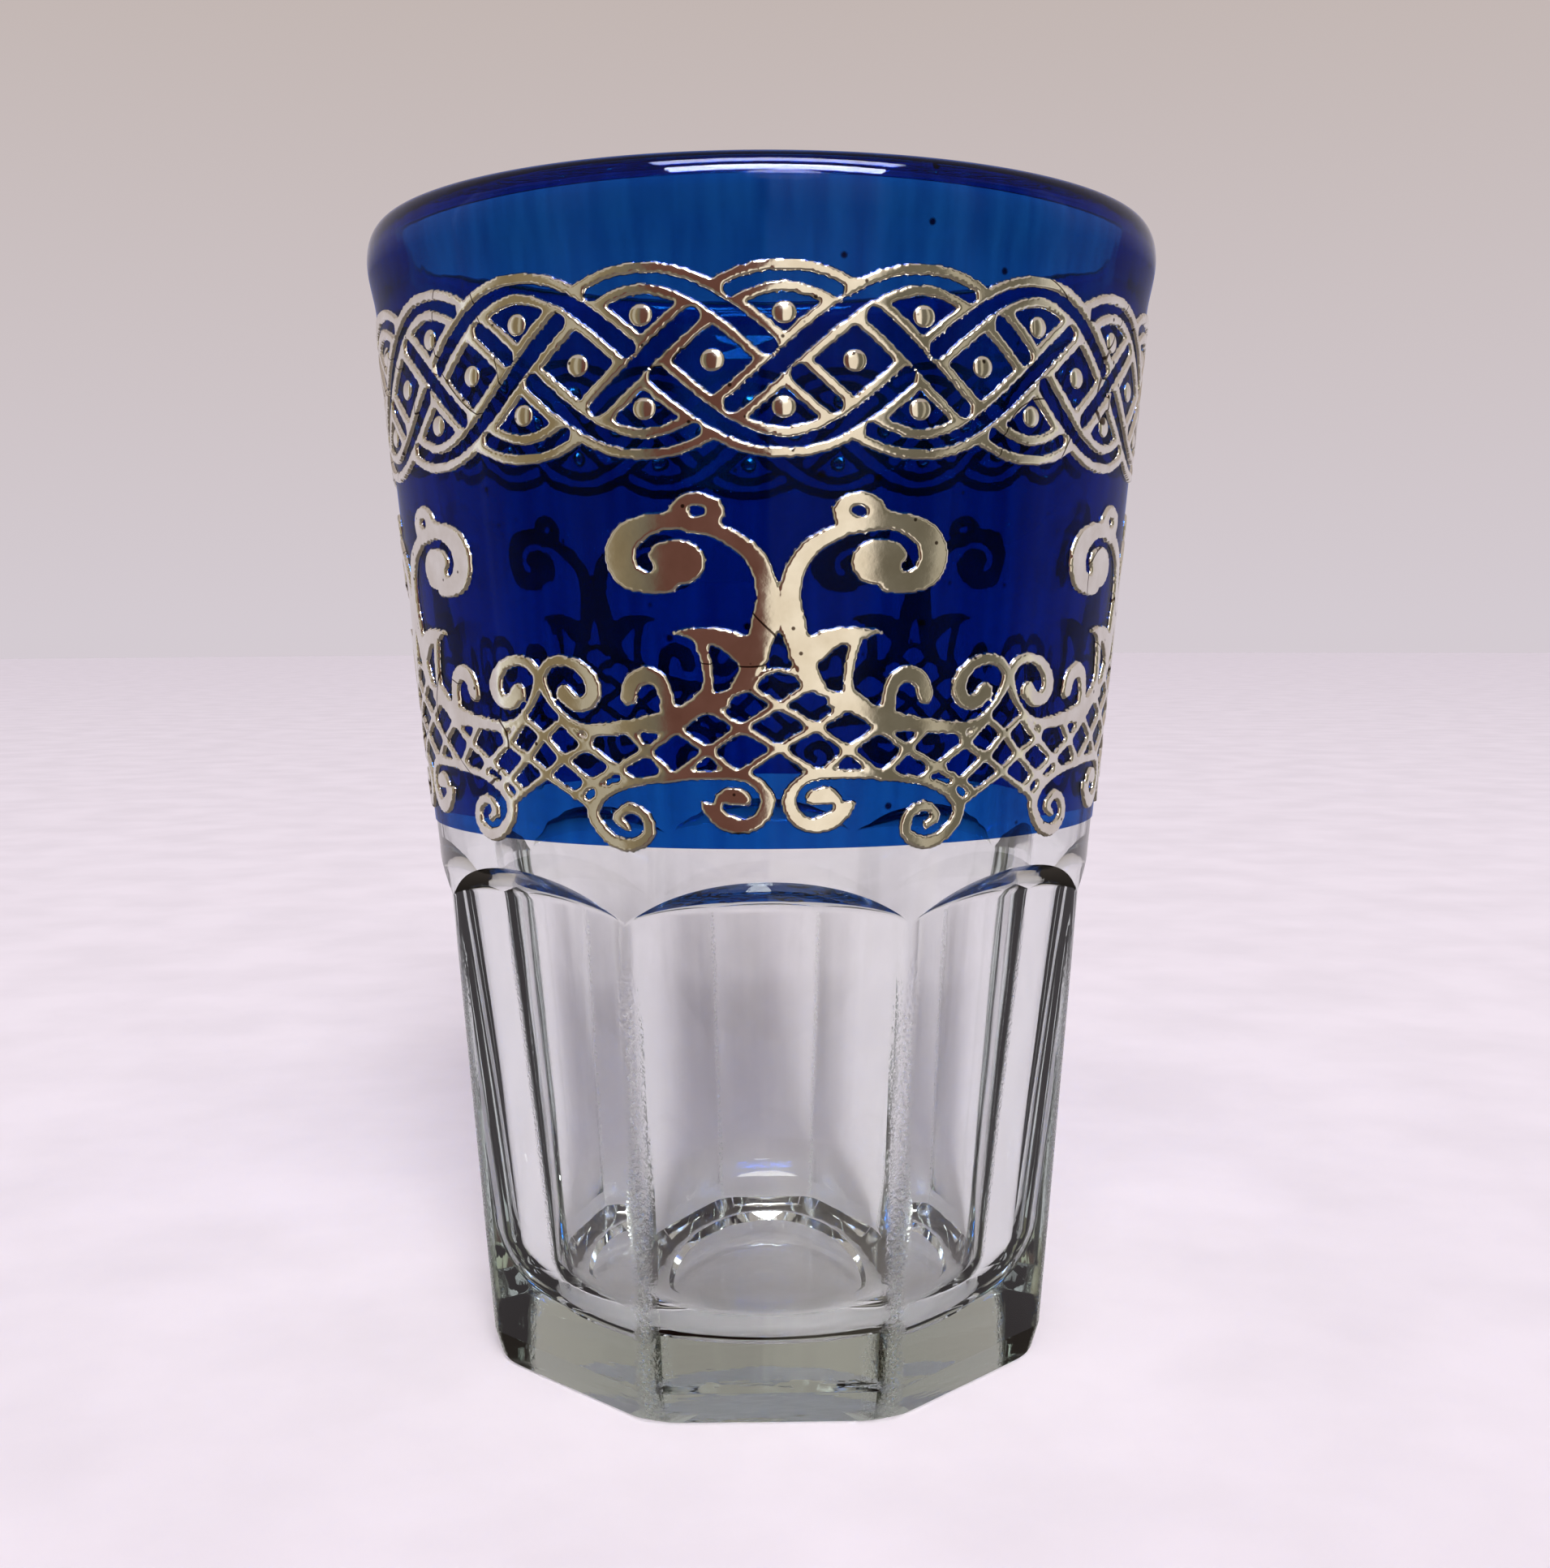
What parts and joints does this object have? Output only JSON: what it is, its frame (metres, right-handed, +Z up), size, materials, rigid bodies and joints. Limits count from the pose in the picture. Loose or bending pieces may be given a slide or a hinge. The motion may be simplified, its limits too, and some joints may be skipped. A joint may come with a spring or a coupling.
{
  "type": "tea glass",
  "caption": "Clear pressed tea glass, faceted below and round above, with a see-through blue coat and raised metal braid and scrollwork, for serving mint tea.",
  "frame": {"origin": "centre of the base, on the surface the glass stands on", "axes": "+Z up along the axis of the glass, -Y through the middle of one flat cut"},
  "size_m": [0.0668, 0.0668, 0.095],
  "materials": {
    "clear_glass": "clear pressed soda glass",
    "blue_coat": "see-through cobalt coat, glossy",
    "pale_metal": "bright pale gold and silver relief, lightly worn"
  },
  "bodies": {
    "root": {"glass_body": "clear_glass", "blue_coat": "blue_coat", "braid_band": "pale_metal", "braid_dots": "pale_metal", "scroll_band": "pale_metal"}
  },
  "joints": []
}
